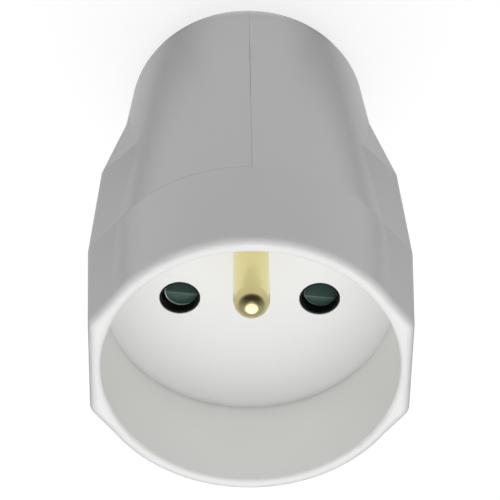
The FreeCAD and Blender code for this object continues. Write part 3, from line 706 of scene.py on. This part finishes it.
# The shutter's pale edges are part wear, part painted highlight; its noses carry a painted reflection line.
GREEN_SHUTTER = ShutterPlastic(
    "shutter_green",
    colour=(0.053, 0.108, 0.091),
    roughness=0.44,
    cloud=0.08,
    edge=0.08 * MM,
    shine=0.28,
    wear_and_highlight=0.8,
)
BLACK_CAGE = MouldedPlastic(
    "cage_black", colour=(0.006, 0.007, 0.007), roughness=0.45, cloud=0.10, edge=0.04 * MM, shine=0.12
)
GREY_CARRIER = MouldedPlastic("carrier_grey", colour=(0.60, 0.60, 0.58), roughness=0.52, cloud=0.03)
PALE_CLAMP = MouldedPlastic("clamp_pale", colour=(0.74, 0.74, 0.73), roughness=0.52, cloud=0.03)
SOFT_RUBBER = MouldedPlastic(
    "grommet_rubber", colour=(0.52, 0.52, 0.51), roughness=0.72, cloud=0.05, grain=4e-6, grain_scale=3800.0
)
BRASS = TurnedMetal(
    "brass_turned", colour=(0.93, 0.84, 0.43), tarnish=(0.86, 0.77, 0.38), roughness=0.21
)
ZINC_PLATE = PlatedMetal("steel_zinc", colour=(0.72, 0.72, 0.71), dull=(0.58, 0.59, 0.60), roughness=0.30)
YELLOW_PLATE = PlatedMetal(
    "steel_yellow", colour=(0.76, 0.68, 0.45), dull=(0.64, 0.58, 0.42), roughness=0.32
)


@functools.cache
def painted(finish: Finish) -> bpy.types.Material:
    """The material of a finish, made once.

    Args:
        finish: What to paint with.

    Returns:
        The material.
    """
    material = bpy.data.materials.new(finish.name)
    material.use_nodes = True
    paint = Paint(material.node_tree)
    paint.close(finish.paint(paint))
    return material


def dress(finish: Finish, *nodes: str) -> None:
    """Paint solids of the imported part.

    Args:
        finish: What to paint with.
        nodes: Names of the solids.
    """
    for node in nodes:
        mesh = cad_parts[node].data
        mesh.materials.clear()
        mesh.materials.append(painted(finish))
        LOG.info("dressed %s in %s", node, finish.name)


def settle(
    name: str,
    shape: bmesh.types.BMesh,
    finish: Finish,
    body: Body,
    nodes: Iterable[str] = (),
) -> bpy.types.Object:
    """Make a finished piece of a bmesh.

    Args:
        name: Name of the piece.
        shape: The geometry, which is freed.
        finish: What to paint it with.
        body: The body that it rides on.
        nodes: Solids that it stands for.

    Returns:
        The new object.
    """
    bmesh.ops.remove_doubles(shape, verts=shape.verts, dist=MERGE)
    bmesh.ops.recalc_face_normals(shape, faces=shape.faces)
    mesh = bpy.data.meshes.new(name)
    shape.to_mesh(mesh)
    shape.free()
    mesh.shade_smooth()
    mesh.set_sharp_from_angle(angle=SMOOTH_ANGLE)
    mesh.materials.append(painted(finish))
    piece = bpy.data.objects.new(name, mesh)
    bpy.context.scene.collection.objects.link(piece)
    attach(piece, body.value)
    for node in nodes:
        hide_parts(node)
    LOG.info("built %s with %d faces", name, len(mesh.polygons))
    return piece


# Shaping kit


def slab(low: Sequence[float], high: Sequence[float]) -> bmesh.types.BMesh:
    """A block between two corners.

    Args:
        low: The corner with the smallest coordinates.
        high: The corner with the largest coordinates.

    Returns:
        The new shape.
    """
    first, last = Vector(low), Vector(high)
    shape = bmesh.new()
    place = Matrix.Translation((first + last) / 2) @ Matrix.Diagonal((*(last - first), 1.0))
    bmesh.ops.create_cube(shape, size=1.0, matrix=place)
    return shape


def drum(radius: float, low: float, high: float, end_radius: float | None = None) -> bmesh.types.BMesh:
    """A round bar or cone along +Z.

    Args:
        radius: Radius of the lower end.
        low: Height of the lower end.
        high: Height of the upper end.
        end_radius: Radius of the upper end where it differs.

    Returns:
        The new shape.
    """
    shape = bmesh.new()
    bmesh.ops.create_cone(
        shape,
        cap_ends=True,
        segments=ROUND_STEPS,
        radius1=radius,
        radius2=radius if end_radius is None else end_radius,
        depth=high - low,
        matrix=Matrix.Translation((0, 0, (low + high) / 2)),
    )
    return shape


def close(shape: bmesh.types.BMesh) -> None:
    """Fill the open loops of a shape and turn its faces outwards.

    Args:
        shape: What is closed.
    """
    loose = [edge for edge in shape.edges if edge.is_boundary]
    bmesh.ops.holes_fill(shape, edges=loose, sides=0)
    bmesh.ops.recalc_face_normals(shape, faces=shape.faces)


def slice_off(shape: bmesh.types.BMesh, point: Sequence[float], outward: Sequence[float]) -> None:
    """Cut away what lies beyond a plane and close the cut.

    Args:
        shape: What is cut.
        point: A point of the plane.
        outward: The plane's normal, towards what goes.
    """
    whole = shape.verts[:] + shape.edges[:] + shape.faces[:]
    bmesh.ops.bisect_plane(
        shape, geom=whole, dist=MERGE, plane_co=point, plane_no=outward, clear_outer=True
    )
    close(shape)


def soften(shape: bmesh.types.BMesh, radius: float, steps: int = 3) -> None:
    """Round the sharp edges of a closed shape.

    Args:
        shape: What is rounded.
        radius: Radius of the rounding.
        steps: Facets across each rounding.
    """
    sharp = [edge for edge in shape.edges if edge.calc_face_angle(0.0) > SMOOTH_ANGLE]
    bmesh.ops.bevel(
        shape,
        geom=sharp,
        offset=radius,
        segments=steps,
        profile=0.5,
        affect="EDGES",
        material=-1,
        clamp_overlap=True,
    )


def absorb(whole: bmesh.types.BMesh, part: bmesh.types.BMesh, place: Matrix | None = None) -> None:
    """Move one shape into another.

    Args:
        whole: The shape that grows.
        part: The shape that is added and freed.
        place: Where it goes, if it moves.
    """
    if place is not None:
        bmesh.ops.transform(part, matrix=place, verts=part.verts)
    passing = bpy.data.meshes.new("passing")
    part.to_mesh(passing)
    part.free()
    whole.from_mesh(passing)
    bpy.data.meshes.remove(passing)


# Sub-assemblies


@dataclass
class HousingShell:
    """The white split housing with its rubber inlet.

    Attributes:
        shells: The two halves of the housing.
        inlet: The ring in the cord inlet.
    """

    shells: tuple[str, ...] = ("main_body", "rear_cover")
    inlet: str = "inlet_grommet"

    def dress(self) -> None:
        """Paint the shells and the inlet."""
        dress(WHITE_SHELL, *self.shells)
        dress(SOFT_RUBBER, self.inlet)


@dataclass
class ContactGroup:
    """Brass contacts, their clips, the earth pin, the carrier and the cord clamp.

    Attributes:
        brass: The brass pieces.
        clips: The spring rings round the contacts.
        carrier: The block behind the floor that holds the contacts.
        clamp: The bar that grips the cord.
    """

    brass: tuple[str, ...] = ("live_contact", "neutral_contact", "earth_pin", "earth_terminal")
    clips: tuple[str, ...] = ("live_contact_clip", "neutral_contact_clip")
    carrier: str = "contact_carrier"
    clamp: str = "cord_clamp"

    def dress(self) -> None:
        """Paint the metal and the plastic that holds it."""
        dress(BRASS, *self.brass)
        dress(ZINC_PLATE, *self.clips)
        dress(GREY_CARRIER, self.carrier)
        dress(PALE_CLAMP, self.clamp)


@dataclass
class ShutterGroup:
    """The sprung green shutter in its black cage.

    Attributes:
        reach: Half the width of a wing.
        front: Near side of the wings.
        back: Far side of the wings.
        bottom: Underside.
        shelf: Top of the low part of the wings.
        top: Top of the round noses under the contact holes.
        nose_radius: Radius of the noses.
        ridges: Where the ramp of each wing meets its flat.
        ramp: Direction that the ramps face before they are turned.
        ridge_turn: Turn of the ramps, and so of the ridges.
        edge: Rounding of the moulded edges.
        bridge_front: Near side of the bridge.
        bridge_top: Top of the bridge.
        peg_radius: Radius of the spring's peg.
        peg_end: Far end of the peg.
        coil_radius: Radius of the spring at the middle of its wire.
        wire_radius: Radius of the spring's wire.
        coil_height: Height of the spring's axis.
        coil_end: Far end of the spring.
        open_turns: Turns between the two closed end turns.
        closed_pitch: Pitch of the closed turns, in radii of the wire.
        wire_steps: Facets round the wire.
        turn_steps: Facets along a turn.
        travel: How far the shutter slides. Not used.
        cage: The black guide of the shutter.
    """

    reach: float = 3.1 * MM
    front: float = -2.7 * MM
    back: float = 3.4 * MM
    bottom: float = 43.5 * MM
    shelf: float = 44.9 * MM
    top: float = 47.35 * MM
    nose_radius: float = 2.4 * MM
    ridges: tuple[float, float] = (0.45 * MM, 0.95 * MM)
    ramp: tuple[float, float, float] = (0.0, -1.0, 1.0)
    ridge_turn: float = math.radians(-6.5)
    edge: float = 0.03 * MM
    bridge_front: float = -0.9 * MM
    bridge_top: float = 46.1 * MM
    peg_radius: float = 0.9 * MM
    peg_end: float = 4.9 * MM
    coil_radius: float = 1.4 * MM
    wire_radius: float = 0.2 * MM
    coil_height: float = 45.3 * MM
    coil_end: float = 13.6 * MM
    open_turns: int = 4
    closed_pitch: float = 2.1
    wire_steps: int = 12
    turn_steps: int = 36
    travel: float = 5.4 * MM
    cage: str = "shutter_cage"

    def build(self) -> None:
        """Make the shutter and its spring."""
        shutter = bmesh.new()
        for x, ridge in zip((HALF_PITCH, -HALF_PITCH), self.ridges):
            self.add_wing(shutter, x, ridge)
        bridge = slab(
            (-HALF_PITCH, self.bridge_front, self.bottom),
            (HALF_PITCH, self.back, self.bridge_top),
        )
        soften(bridge, self.edge)
        absorb(shutter, bridge)
        peg = drum(self.peg_radius, 0.0, self.peg_end)
        soften(peg, 2 * self.edge)
        absorb(shutter, peg, Axis.PLUS_Y.stand((0, 0, self.coil_height)))
        settle("shutter_slider", shutter, GREEN_SHUTTER, Body.SHUTTER, ["shutter"])
        self.build_spring()

    def add_wing(self, shutter: bmesh.types.BMesh, x: float, ridge: float) -> None:
        """Add a low block and a round nose, both cut to one ramp.

        Args:
            shutter: The shape that grows.
            x: Place of the contact hole.
            ridge: Where the ramp meets the flat.
        """
        block = slab(
            (x - self.reach, self.front, self.bottom), (x + self.reach, self.back, self.shelf)
        )
        nose = drum(self.nose_radius, self.bottom, self.top)
        shift_x, shift_y = NOSE_SHIFT
        bmesh.ops.translate(nose, vec=(x + shift_x, shift_y, 0), verts=nose.verts)
        facing = Matrix.Rotation(self.ridge_turn, 3, "Z") @ Vector(self.ramp).normalized()
        for part in (block, nose):
            slice_off(part, (x, ridge, self.top), facing)
            soften(part, self.edge, steps=1)
            absorb(shutter, part)

    def build_spring(self) -> None:
        """Wind the spring: a closed turn at each end and open turns between."""
        spring = bmesh.new()
        start = self.back + self.wire_radius
        ring = Matrix.Translation((self.coil_radius, start, self.coil_height))
        bmesh.ops.create_circle(spring, segments=self.wire_steps, radius=self.wire_radius, matrix=ring)
        closed = self.closed_pitch * self.wire_radius
        run = self.coil_end - self.wire_radius - start - 2 * closed
        end = spring.verts[:] + spring.edges[:]
        for pitch, turns in ((closed, 1), (run / self.open_turns, self.open_turns), (closed, 1)):
            steps = self.turn_steps * turns
            wound = bmesh.ops.spin(
                spring,
                geom=end,
                cent=(0, 0, self.coil_height),
                axis=(0, 1, 0),
                dvec=(0, pitch * turns / steps, 0),
                angle=2 * math.pi * turns,
                steps=steps,
                use_merge=False,
            )
            end = wound["geom_last"]
        close(spring)
        piece = settle(
            "return_spring", spring, ZINC_PLATE, Body.HOUSING, ["shutter_spring"]
        )
        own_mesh(piece)

    def dress(self) -> None:
        """Paint the cage."""
        dress(BLACK_CAGE, self.cage)


@dataclass(frozen=True)
class ScrewKind:
    """Sizes of one kind of slotted screw.

    Attributes:
        length: From the seat of the head to the tip.
        radius: Over the thread.
        head_radius: Radius of the head.
        head_height: Height of the head.
        pitch: Distance between turns of the thread.
        slot: Width of the slot.
        slot_depth: Depth of the slot.
        head_round: Rounding of the head, of its height.
        head_steps: Facets across that rounding.
        flanks: Where a turn of the thread reaches its crest, leaves it and is down, in pitches.
        thread_depth: Depth of the thread, in pitches.
        thread_steps: Facets along a turn.
        taper: Length of the tapered tip, in radii.
        tip: Radius of the tip's end, of the thread's root.
    """

    length: float
    radius: float = 1.42 * MM
    head_radius: float = 2.6 * MM
    head_height: float = 2.0 * MM
    pitch: float = 1.1 * MM
    slot: float = 0.7 * MM
    slot_depth: float = 0.9 * MM
    head_round: float = 0.55
    head_steps: int = 7
    flanks: tuple[float, float, float] = (0.30, 0.38, 0.68)
    thread_depth: float = 0.3
    thread_steps: int = 24
    taper: float = 2.0
    tip: float = 1 / 3

    def add(self, screws: bmesh.types.BMesh, place: Matrix) -> None:
        """Add a screw: its seat at the place, its shank along the place's +Z.

        Args:
            screws: The shape that grows.
            place: Where the screw goes.
        """
        for side in (1, -1):
            half = self.head()
            slice_off(half, (0, side * self.slot / 2, 0), (0, -side, 0))
            absorb(screws, half, place)
        absorb(screws, drum(self.head_radius, self.slot_depth - self.head_height, 0), place)
        absorb(screws, self.thread(), place)
        root = self.root()
        absorb(screws, drum(root, self.straight(), self.length, self.tip * root), place)

    def root(self) -> float:
        """Radius at the bottom of the thread."""
        return self.radius - self.thread_depth * self.pitch

    def straight(self) -> float:
        """Length of the shank without its tapered tip."""
        return self.length - self.taper * self.radius

    def head(self) -> bmesh.types.BMesh:
        """Make a round head without its slot.

        Returns:
            The new shape.
        """
        head = drum(self.head_radius, -self.head_height, 0)
        top = [edge for edge in head.edges if sum(vert.co.z for vert in edge.verts) < -self.head_height]
        rim = [edge for edge in top if edge.calc_face_angle(0.0) > SMOOTH_ANGLE]
        bmesh.ops.bevel(
            head,
            geom=rim,
            offset=self.head_height * self.head_round,
            segments=self.head_steps,
            profile=0.5,
            affect="EDGES",
            material=-1,
        )
        return head

    def thread(self) -> bmesh.types.BMesh:
        """Wind the threaded shank from one outline of the thread.

        Returns:
            The new shape.
        """
        shank = bmesh.new()
        root = self.root()
        rise, crest, fall = self.flanks
        outline = ((root, 0.0), (self.radius, rise), (self.radius, crest), (root, fall), (root, 1.0))
        points = [shank.verts.new((radius, 0, share * self.pitch)) for radius, share in outline]
        lines = [shank.edges.new(pair) for pair in zip(points, points[1:])]
        turns = int(self.straight() / self.pitch)
        bmesh.ops.spin(
            shank,
            geom=points + lines,
            cent=(0, 0, 0),
            axis=(0, 0, 1),
            dvec=(0, 0, self.pitch / self.thread_steps),
            angle=2 * math.pi * turns,
            steps=self.thread_steps * turns,
            use_merge=False,
        )
        bmesh.ops.translate(shank, vec=(0, 0, -self.pitch / 2), verts=shank.verts)
        bmesh.ops.remove_doubles(shank, verts=shank.verts, dist=MERGE)
        close(shank)
        return shank


Seat = tuple[float, float, float, Axis]


@dataclass
class ScrewGroup:
    """The slotted screws of the cover, the carrier, the clamp and the terminals.

    Attributes:
        cover: Seats of the cover's screws in millimetres, and where they point.
        carrier: Seats of the carrier's screws.
        clamp: Seats of the clamp's screws.
        terminal: Seats of the terminals' screws.
        lengths: Lengths of the cover's, the carrier's and the clamp's screws.
        turn: How far each screw is driven beyond the one before it.
    """

    cover: tuple[Seat, ...] = ((8.0, 11.2, 32.5, Axis.MINUS_X), (8.0, 11.2, 8.4, Axis.MINUS_X))
    carrier: tuple[Seat, ...] = ((10.437, -10.808, 38.6, Axis.UP), (-6.35, 13.617, 38.6, Axis.UP))
    clamp: tuple[Seat, ...] = ((7.2, -8.0, 15.0, Axis.MINUS_X), (7.2, 8.0, 15.0, Axis.MINUS_X))
    terminal: tuple[Seat, ...] = (
        (13.7, 0.0, 26.8, Axis.MINUS_X),
        (-13.7, 0.0, 26.8, Axis.PLUS_X),
        (0.0, -14.2, 26.8, Axis.PLUS_Y),
    )
    lengths: tuple[float, float, float] = (16.0 * MM, 8.7 * MM, 11.0 * MM)
    turn: float = math.radians(52)

    def build(self) -> None:
        """Make a piece of each set of screws."""
        long, short, middle = (ScrewKind(length) for length in self.lengths)
        stub = ScrewKind(
            length=3.2 * MM, radius=1.48 * MM, head_radius=2.3 * MM, head_height=1.5 * MM, pitch=0.5 * MM
        )
        self.build_set("cover_screws", long, self.cover, ZINC_PLATE)
        self.build_set("carrier_screws", short, self.carrier, ZINC_PLATE)
        self.build_set("clamp_screws", middle, self.clamp, ZINC_PLATE)
        self.build_set("terminal_screws", stub, self.terminal, YELLOW_PLATE)

    def build_set(
        self, node: str, kind: ScrewKind, seats: Iterable[Seat], finish: Finish
    ) -> None:
        """Make one set of screws.

        Args:
            node: The solid that the set stands for.
            kind: The screws' sizes.
            seats: Where the screws sit.
            finish: What to paint them with.
        """
        screws = bmesh.new()
        for index, (x, y, z, axis) in enumerate(seats):
            place = axis.stand((x * MM, y * MM, z * MM)) @ Matrix.Rotation(index * self.turn, 4, "Z")
            kind.add(screws, place)
        settle("slotted_" + node, screws, finish, Body.HOUSING, [node])


# Studio


@dataclass(frozen=True)
class SoftLamp:
    """A round soft light that points at the connector.

    Attributes:
        name: Name of the lamp.
        place: Where it hangs.
        width: Its width.
        power: Power in watts.
        mirrored: Whether reflections show it.
    """

    name: str
    place: tuple[float, float, float]
    width: float
    power: float
    mirrored: bool = True

    def build(self, target: Vector) -> None:
        """Hang the lamp.

        Args:
            target: The point that it faces.
        """
        lamp = bpy.data.lights.new(self.name, "AREA")
        lamp.shape = "DISK"
        lamp.size = self.width
        lamp.energy = self.power
        holder = bpy.data.objects.new(self.name, lamp)
        holder.location = self.place
        holder.visible_glossy = self.mirrored
        holder.rotation_euler = (target - Vector(self.place)).to_track_quat("-Z", "Y").to_euler()
        bpy.context.scene.collection.objects.link(holder)


@dataclass
class Studio:
    """Plain pale floor, soft lights and the white surroundings.

    Attributes:
        floor_radius: Radius of the floor.
        floor_steps: Corners of its outline.
        floor_drop: How far the floor lies below the tail, so that the two faces stay apart.
        floor_colour: Colour that the floor throws back on the connector.
        floor_shade: Part of the floor's look that takes the shadow.
        floor_glow: Part of the floor's look that does not.
        wing_start: From the middle to where the dark wings of the mirrored floor start.
        wing_bend: How fast the wings bend back as they go outwards.
        wing_slope: How fast they turn back inside their start.
        mirror: Brightness of the mirrored floor: far before the wings, before them, on them,
            behind them and far behind.
        mirror_steps: Depths between which each brightness goes over to the next.
        sky: Strength of the soft light from all round.
        room: Brightness of the room that reflections show.
        dusk: Share of that brightness lost in the band over the near horizon.
        dusk_band: Heights of that band, as sines: its start, its full part and its end.
        dusk_side: Between which depths the band ends, as it is on the near side only.
        lamps: The lamps.
        lamp_target: The point that they face.
    """

    floor_radius: float = 4.0
    floor_steps: int = 96
    floor_drop: float = 0.05 * MM
    floor_colour: Colour = (0.22, 0.22, 0.22)
    floor_shade: Colour = (0.30, 0.30, 0.30)
    floor_glow: float = 0.78
    wing_start: float = 14.5 * MM
    wing_bend: float = 8.3 * MM
    wing_slope: float = 0.8
    mirror: tuple[float, ...] = (0.58, 0.84, 0.29, 0.60, 0.30)
    mirror_steps: tuple[tuple[float, float], ...] = (
        (-66.0 * MM, -52.0 * MM),
        (-28.0 * MM, -14.5 * MM),
        (-14.0 * MM, -9.5 * MM),
        (15.0 * MM, 30.0 * MM),
    )
    sky: float = 0.36
    room: float = 0.34
    dusk: float = 0.92
    dusk_band: tuple[float, float, float, float] = (0.12, 0.30, 0.80, 0.92)
    dusk_side: tuple[float, float] = (-0.75, 0.75)
    lamps: tuple[SoftLamp, ...] = (
        SoftLamp("key_lamp", (0.0, 0.32, 0.92), 1.25, 5.9),
        SoftLamp("front_fill", (0.0, -0.66, 0.62), 0.80, 0.85, False),
        SoftLamp("low_fill", (0.0, -0.95, 0.22), 0.40, 0.50, False),
    )
    lamp_target: tuple[float, float, float] = (0.0, 0.0, 50.0 * MM)

    def build(self) -> None:
        """Make the floor, the lamps and the world."""
        self.build_floor()
        for lamp in self.lamps:
            lamp.build(Vector(self.lamp_target))
        self.build_world()
        bpy.context.scene.view_settings.view_transform = "Standard"

    @staticmethod
    def seen(paint: Paint) -> Signal:
        """One on rays that show the surroundings instead of taking light from them, else zero."""
        return paint.ray("Camera") | paint.ray("Glossy") | paint.ray("Transmission")

    def build_floor(self) -> None:
        """A round floor that looks white and still takes a soft shadow."""
        disc = bmesh.new()
        below = Matrix.Translation((0, 0, -self.floor_drop))
        bmesh.ops.create_circle(
            disc, cap_ends=True, segments=self.floor_steps, radius=self.floor_radius, matrix=below
        )
        mesh = bpy.data.meshes.new("floor")
        disc.to_mesh(mesh)
        disc.free()
        floor = bpy.data.objects.new("floor", mesh)
        bpy.context.scene.collection.objects.link(floor)
        material = bpy.data.materials.new("floor_white")
        material.use_nodes = True
        paint = Paint(material.node_tree)
        bounce = paint.node("ShaderNodeBsdfDiffuse", inputs={"Color": self.floor_colour})
        shade = paint.node("ShaderNodeBsdfDiffuse", inputs={"Color": self.floor_shade})
        glow = paint.node("ShaderNodeEmission", inputs={"Color": WHITE, "Strength": self.floor_glow})
        white = paint.node("ShaderNodeAddShader", inputs={0: shade, 1: glow})
        plain = paint.node("ShaderNodeMixShader", inputs={0: self.seen(paint), 1: bounce, 2: white})
        mirrored = self.mirrored_floor(paint)
        paint.close(paint.node("ShaderNodeMixShader", inputs={0: paint.ray("Glossy"), 1: plain, 2: mirrored}))
        mesh.materials.append(material)

    def mirrored_floor(self, paint: Paint) -> Signal:
        """The floor as reflections show it: pale, with a dark wing at each side of the connector.

        Args:
            paint: The floor's paint.

        Returns:
            The glowing surface.
        """
        away = abs(paint.along("X"))
        bend = paint.math("LOGARITHM", (away | self.wing_start) * (1 / self.wing_start), math.e)
        inner = (self.wing_start - away) | 0.0
        depth = paint.along("Y") - bend * self.wing_bend - inner * self.wing_slope
        level: Operand = self.mirror[0]
        for (low, high), before, after in zip(self.mirror_steps, self.mirror, self.mirror[1:]):
            level = level + paint.ramp(depth, low, high, 0.0, after - before)
        return paint.node("ShaderNodeEmission", inputs={"Color": level})

    def build_world(self) -> None:
        """Soft light from all round, a dim room in reflections, white where it is seen."""
        world = bpy.data.worlds.new("studio")
        world.use_nodes = True
        bpy.context.scene.world = world
        paint = Paint(world.node_tree)
        way = paint.node("ShaderNodeTexCoord", output="Generated")
        rise = paint.node("ShaderNodeSeparateXYZ", inputs={"Vector": way}, output="Z")
        depth = paint.node("ShaderNodeSeparateXYZ", inputs={"Vector": way}, output="Y")
        start, full, fade, end = self.dusk_band
        band = paint.ramp(rise, start, full, 0.0, 1.0) * paint.ramp(rise, fade, end, 1.0, 0.0)
        band = band * paint.ramp(depth, *self.dusk_side, 1.0, 0.0)
        soft = paint.node("ShaderNodeBackground", inputs={"Color": WHITE, "Strength": self.sky})
        mirrored = self.room - band * (self.dusk * self.room)
        shown = 1.0 - paint.ray("Glossy") * (1.0 - mirrored)
        white = paint.node("ShaderNodeBackground", inputs={"Color": shown})
        mixed = paint.node("ShaderNodeMixShader", inputs={0: self.seen(paint), 1: soft, 2: white})
        paint.node("ShaderNodeOutputWorld", inputs={"Surface": mixed})


@dataclass(frozen=True)
class PhotoCamera:
    """The photograph's camera: it looks into the mouth with the earth pin uppermost.

    Attributes:
        distance: From the middle of the mouth along the view.
        tilt: Degrees between the connector's axis and the view.
        yaw: Degrees that the connector is turned about the picture's upright.
        roll: Degrees that the picture is turned.
        right: How far the mouth's middle lies right of the picture's.
        up: How far the mouth's middle lies above the picture's.
        focal: Focal length in pixels.
        frame_width: Width of the picture in pixels.
        sensor: Width of the sensor in millimetres.
        mouth: Height of the mouth above the tail.
        clip: Nearest and farthest distance that is drawn.
    """

    distance: float = 363.82 * MM
    tilt: float = 38.26
    yaw: float = 1.116
    roll: float = -1.080
    right: float = 0.077 * MM
    up: float = -15.857 * MM
    focal: float = 2764.8
    frame_width: float = 500.0
    sensor: float = 36.0
    mouth: float = 64.0 * MM
    clip: tuple[float, float] = (0.01, 20.0)

    def build(self) -> None:
        """Make the camera the scene's."""
        turns = ((self.roll, "Z"), (self.tilt, "X"), (self.yaw, "Y"))
        view = Matrix.Identity(3)
        for degrees, axis in turns:
            view = view @ Matrix.Rotation(math.radians(degrees), 3, axis)
        axes = Matrix.Rotation(math.pi, 3, "Z") @ view.transposed()
        place = axes @ Vector((-self.right, -self.up, self.distance)) + Vector((0, 0, self.mouth))
        camera = bpy.data.cameras.new("photo_camera")
        camera.sensor_width = self.sensor
        camera.lens = self.focal / self.frame_width * self.sensor
        camera.clip_start, camera.clip_end = self.clip
        holder = bpy.data.objects.new("photo_camera", camera)
        holder.matrix_world = Matrix.Translation(place) @ axes.to_4x4()
        bpy.context.scene.collection.objects.link(holder)
        bpy.context.scene.camera = holder


def main() -> None:
    """Build the scene in order and report each piece."""
    logging.basicConfig(level=logging.INFO, format="%(name)s: %(message)s")
    PhotoCamera().build()
    HousingShell().dress()
    ContactGroup().dress()
    shutter = ShutterGroup()
    shutter.build()
    shutter.dress()
    ScrewGroup().build()
    Studio().build()


if __name__ == "__main__":
    main()
